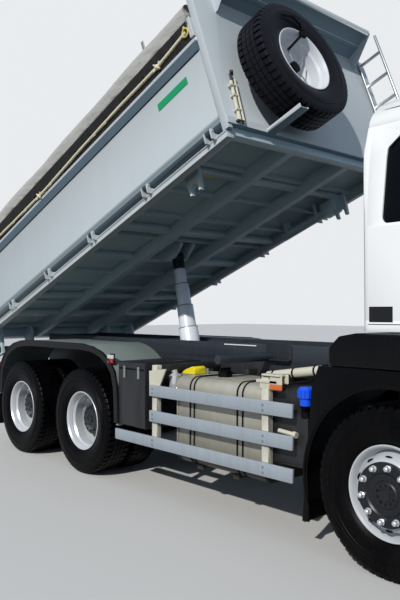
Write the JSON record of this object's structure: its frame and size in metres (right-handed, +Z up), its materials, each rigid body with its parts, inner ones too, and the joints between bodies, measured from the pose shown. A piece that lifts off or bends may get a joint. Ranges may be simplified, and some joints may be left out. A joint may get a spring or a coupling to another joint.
{
  "type": "dump truck",
  "caption": "Three-axle dump truck with a raised tipping bed, hinged side boards, a telescopic cylinder, a tilting cab and a spare wheel.",
  "frame": {"origin": "on the ground, midway along the truck's length and midway between its sides", "axes": "+X forward to the cab's front, +Y to the truck's left, +Z up"},
  "size_m": [8.1351, 2.9, 4.5859],
  "materials": {
    "bed_paint": "semi-gloss",
    "cab_paint": "gloss",
    "glass": "gloss",
    "dark_plastic": "matt",
    "chassis_paint": "satin",
    "steel": "satin",
    "cast_iron": "matt",
    "aluminium": "satin",
    "box_paint": "satin",
    "galvanised": "matt",
    "lamp_lens": "gloss",
    "tarpaulin": "matt",
    "tyre": "matt",
    "rim_paint": "satin"
  },
  "bodies": {
    "chassis": {"chassis_frame": "chassis_paint", "subframe": "chassis_paint", "engine_block": "cast_iron", "front_axle": "chassis_paint", "rear_axles": "chassis_paint", "springs": "chassis_paint", "fuel_tank": "aluminium", "side_boxes": "box_paint", "side_guards": "aluminium", "rear_mudguards": "galvanised", "front_arches": "dark_plastic", "arch_fairings": "dark_plastic", "bumper": "dark_plastic", "lamps": "lamp_lens", "underrun_bar": "chassis_paint", "cab_mounts": "chassis_paint"},
    "knuckle_left_body": {"knuckle_left": "chassis_paint"},
    "knuckle_right_body": {"knuckle_right": "chassis_paint"},
    "cab": {"cab_floor": "cab_paint", "cab_rear_wall": "cab_paint", "cab_roof": "cab_paint", "cab_front": "cab_paint", "cab_sides": "cab_paint", "cab_glass": "glass", "dashboard": "dark_plastic", "seats": "dark_plastic", "mirrors": "dark_plastic"},
    "left_door": {"door_left": "cab_paint", "door_glass_left": "glass"},
    "right_door": {"door_right": "cab_paint", "door_glass_right": "glass"},
    "bed": {"bed_floor": "bed_paint", "bed_frame": "bed_paint", "front_wall": "bed_paint", "ladder": "steel", "spare_tyre": "tyre", "spare_rim": "rim_paint", "tarp_roll": "tarpaulin", "tarp_tube": "steel"},
    "left_board": {"side_board_left": "bed_paint"},
    "right_board": {"side_board_right": "bed_paint"},
    "rear_gate": {"tailgate": "bed_paint"},
    "barrel": {"cylinder_barrel": "chassis_paint"},
    "stage_1": {"cylinder_stage_1": "steel"},
    "stage_2": {"cylinder_stage_2": "steel"},
    "stage_3": {"cylinder_stage_3": "steel"},
    "stage_4": {"cylinder_stage_4": "steel"},
    "wheel_front_left": {"tyre_front_left": "tyre", "rim_front_left": "rim_paint"},
    "wheel_front_right": {"tyre_front_right": "tyre", "rim_front_right": "rim_paint"},
    "wheel_middle_left": {"tyre_middle_left": "tyre", "rim_middle_left": "rim_paint"},
    "wheel_middle_right": {"tyre_middle_right": "tyre", "rim_middle_right": "rim_paint"},
    "wheel_rear_left": {"tyre_rear_left": "tyre", "rim_rear_left": "rim_paint"},
    "wheel_rear_right": {"tyre_rear_right": "tyre", "rim_rear_right": "rim_paint"}
  },
  "joints": [
    {"name": "front_left_wheel_spin", "type": "hinge", "parent": "knuckle_left_body", "child": "wheel_front_left", "pos_m": [2.58, 1.105, 0.537], "axis": [0, 1, 0], "continuous": true},
    {"name": "front_right_wheel_spin", "type": "hinge", "parent": "knuckle_right_body", "child": "wheel_front_right", "pos_m": [2.58, -1.105, 0.537], "axis": [0, 1, 0], "continuous": true},
    {"name": "middle_left_wheel_spin", "type": "hinge", "parent": "chassis", "child": "wheel_middle_left", "pos_m": [-1.02, 0.9225, 0.537], "axis": [0, 1, 0], "continuous": true},
    {"name": "middle_right_wheel_spin", "type": "hinge", "parent": "chassis", "child": "wheel_middle_right", "pos_m": [-1.02, -0.9225, 0.537], "axis": [0, 1, 0], "continuous": true},
    {"name": "rear_left_wheel_spin", "type": "hinge", "parent": "chassis", "child": "wheel_rear_left", "pos_m": [-2.37, 0.9225, 0.537], "axis": [0, 1, 0], "continuous": true},
    {"name": "rear_right_wheel_spin", "type": "hinge", "parent": "chassis", "child": "wheel_rear_right", "pos_m": [-2.37, -0.9225, 0.537], "axis": [0, 1, 0], "continuous": true},
    {"name": "steering_left", "type": "hinge", "parent": "chassis", "child": "knuckle_left_body", "pos_m": [2.58, 0.975, 0.537], "axis": [0, 0, 1], "range_deg": [-35, 35]},
    {"name": "steering_right", "type": "hinge", "parent": "chassis", "child": "knuckle_right_body", "pos_m": [2.58, -0.975, 0.537], "axis": [0, 0, 1], "range_deg": [-35, 35]},
    {"name": "cab_tilt", "type": "hinge", "parent": "chassis", "child": "cab", "pos_m": [3.9, 0, 1], "axis": [0, 1, 0], "range_deg": [0, 60]},
    {"name": "right_door_hinge", "type": "hinge", "parent": "cab", "child": "right_door", "pos_m": [3.75, -1.15, 2], "axis": [0, 0, 1], "range_deg": [0, 70]},
    {"name": "left_door_hinge", "type": "hinge", "parent": "cab", "child": "left_door", "pos_m": [3.75, 1.15, 2], "axis": [0, 0, -1], "range_deg": [0, 70]},
    {"name": "bed_tipping", "type": "hinge", "parent": "chassis", "child": "bed", "pos_m": [-3.32, 0, 1.16], "axis": [0, -1, 0], "range_deg": [-20.5, 26.5]},
    {"name": "barrel_swing", "type": "hinge", "parent": "chassis", "child": "barrel", "pos_m": [-0.65, 0, 1], "axis": [0, -1, 0], "range_deg": [-9.3, 12]},
    {"name": "stage_1_slide", "type": "slide", "parent": "barrel", "child": "stage_1", "axis": [-0.2271, 0, 0.9739], "range_m": [-0.2264, 0.2926]},
    {"name": "stage_2_slide", "type": "slide", "parent": "stage_1", "child": "stage_2", "axis": [-0.2271, 0, 0.9739], "range_m": [-0.2264, 0.2926]},
    {"name": "stage_3_slide", "type": "slide", "parent": "stage_2", "child": "stage_3", "axis": [-0.2271, 0, 0.9739], "range_m": [-0.2264, 0.2926]},
    {"name": "stage_4_slide", "type": "slide", "parent": "stage_3", "child": "stage_4", "axis": [-0.2271, 0, 0.9739], "range_m": [-0.2264, 0.2926]},
    {"name": "tailgate_hinge", "type": "hinge", "parent": "bed", "child": "rear_gate", "pos_m": [-3.93699, 0, 2.16774], "axis": [0, 1, 0], "range_deg": [0, 80]},
    {"name": "right_board_hinge", "type": "hinge", "parent": "bed", "child": "right_board", "pos_m": [-3.42506, -1.275, 1.441], "axis": [0.9367, 0, 0.3502], "range_deg": [0, 170]},
    {"name": "left_board_hinge", "type": "hinge", "parent": "bed", "child": "left_board", "pos_m": [-3.42506, 1.275, 1.441], "axis": [-0.9367, 0, -0.3502], "range_deg": [0, 170]}
  ],
  "couplings": [
    {"joint": "steering_right", "follows": "steering_left", "ratio": 1},
    {"joint": "barrel_swing", "follows": "bed_tipping", "ratio": 0.45},
    {"joint": "stage_1_slide", "follows": "bed_tipping", "m_per_rad": 0.6325},
    {"joint": "stage_2_slide", "follows": "bed_tipping", "m_per_rad": 0.6325},
    {"joint": "stage_3_slide", "follows": "bed_tipping", "m_per_rad": 0.6325},
    {"joint": "stage_4_slide", "follows": "bed_tipping", "m_per_rad": 0.6325}
  ]
}
